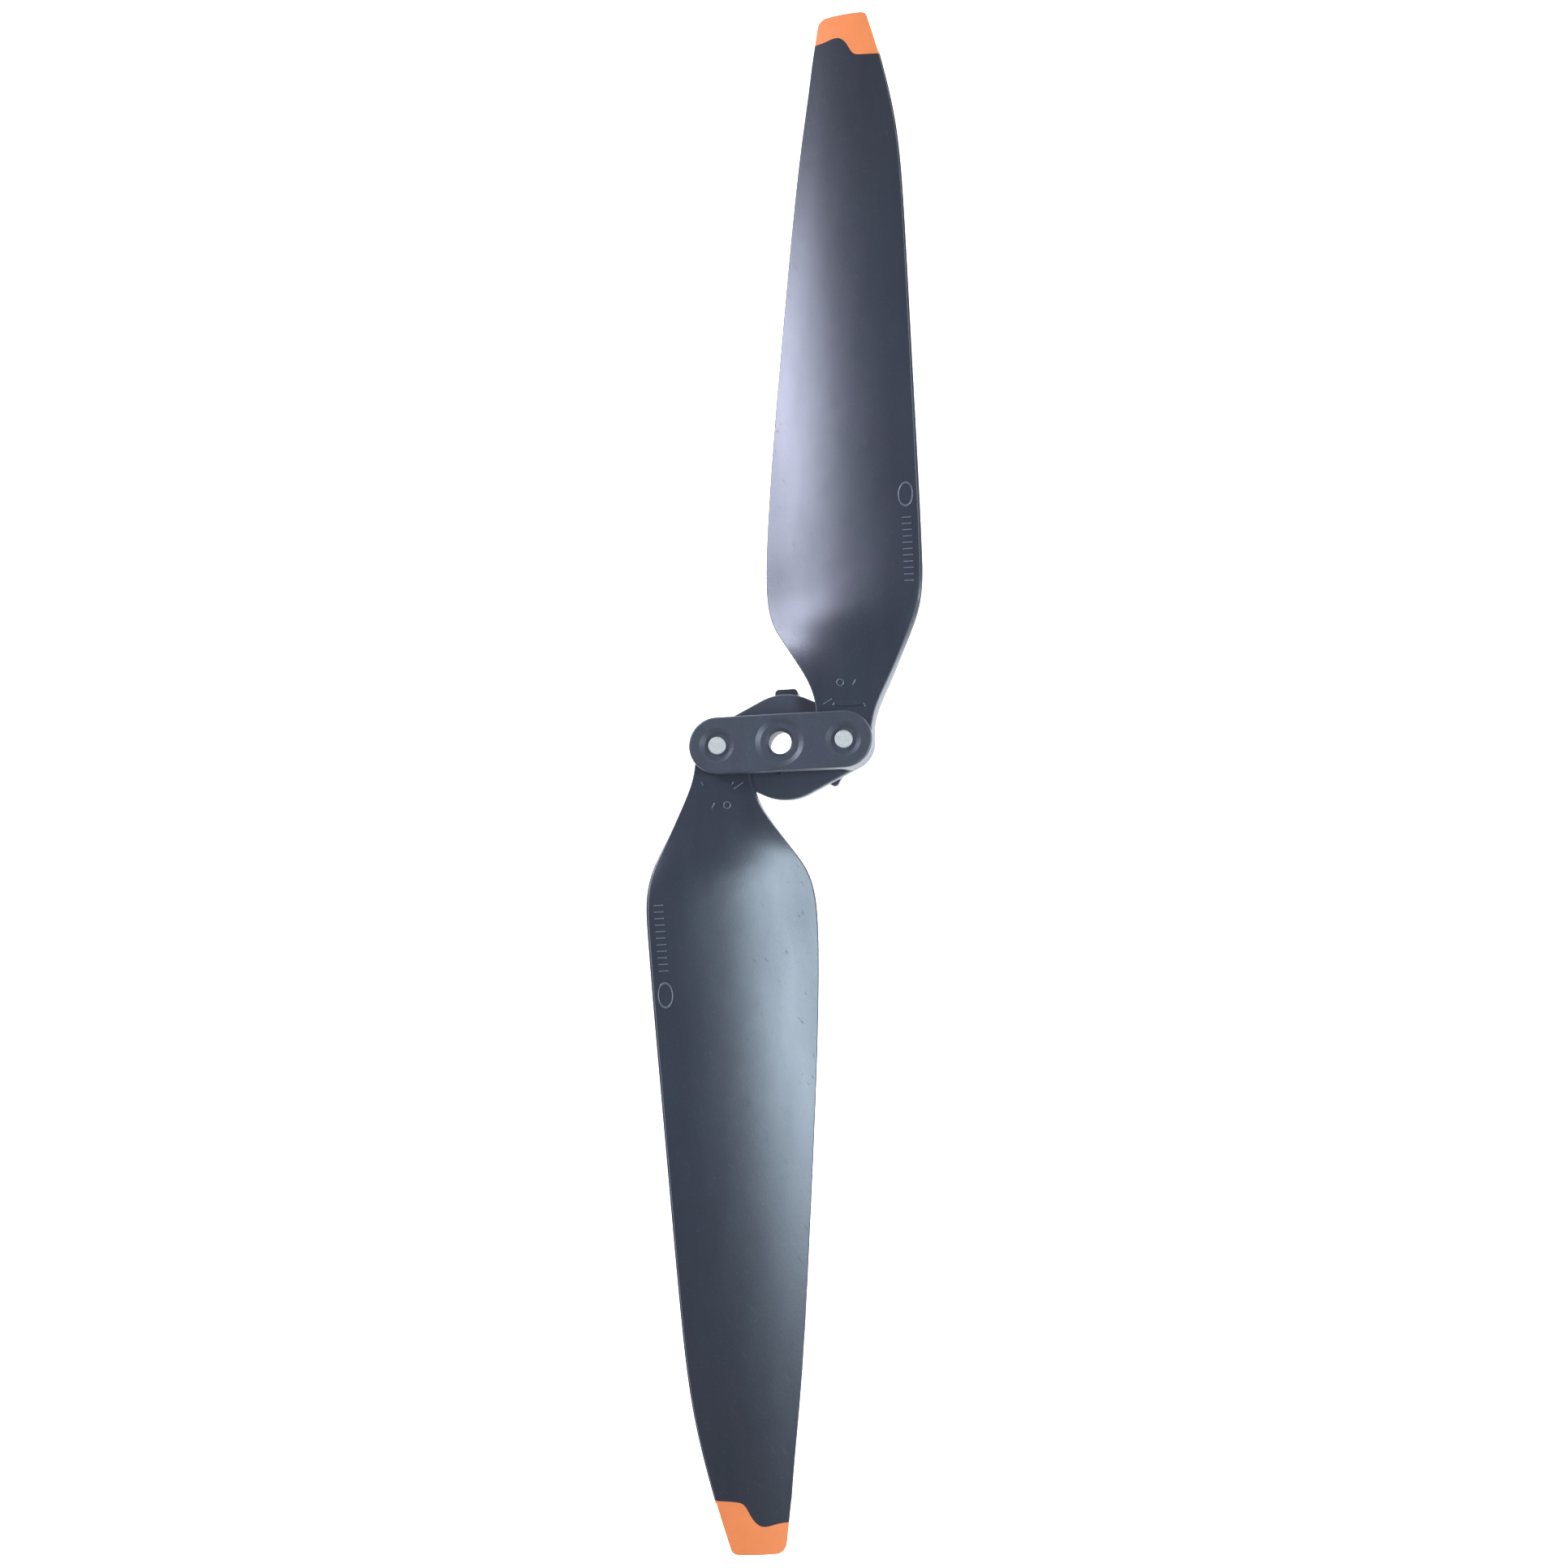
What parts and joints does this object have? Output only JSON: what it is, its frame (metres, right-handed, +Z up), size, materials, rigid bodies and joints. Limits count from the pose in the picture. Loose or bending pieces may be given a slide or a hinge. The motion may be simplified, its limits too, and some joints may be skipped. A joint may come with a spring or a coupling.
{
  "type": "folding propeller",
  "caption": "Folding propeller for a camera drone: twisted tapering blades pivot on rivets between a flat round-ended clamp and a quick-release hub with bayonet lugs and a shaft bore.",
  "frame": {"origin": "centre of the shaft bore on the seat face, the ring under the lower hub's plate", "axes": "+Z up along the rotor's axis, away from the motor; +X from the left pivot to the right pivot; +Y along the right blade as stored, with that blade leaning 1.8 degrees off it"},
  "size_m": [0.0412, 0.2216, 0.011],
  "materials": {
    "hub_plastic": "fine moulded satin, glass-filled nylon",
    "blade_plastic": "fine moulded satin, glass-filled nylon",
    "tip_colour": "satin orange",
    "pin_metal": "satin turned metal",
    "washer_plastic": "smooth low-friction sheet"
  },
  "bodies": {
    "hub": {"upper_clamp": "hub_plastic", "lower_hub": "hub_plastic", "pivot_pin_a": "pin_metal", "pivot_pin_b": "pin_metal", "washer_a_lower": "washer_plastic", "washer_a_upper": "washer_plastic", "washer_b_lower": "washer_plastic", "washer_b_upper": "washer_plastic"},
    "swing_blade_a": {"blade_a": "blade_plastic", "blade_tip_a": "tip_colour"},
    "swing_blade_b": {"blade_b": "blade_plastic", "blade_tip_b": "tip_colour"}
  },
  "joints": [
    {"name": "blade_a_pivot", "type": "hinge", "parent": "hub", "child": "swing_blade_a", "pos_m": [0.00905, 0, 0.00385], "axis": [0, 0, 1], "range_deg": [-180, 3]},
    {"name": "blade_b_pivot", "type": "hinge", "parent": "hub", "child": "swing_blade_b", "pos_m": [-0.00905, 0, 0.00385], "axis": [0, 0, 1], "range_deg": [-183, 0]}
  ]
}
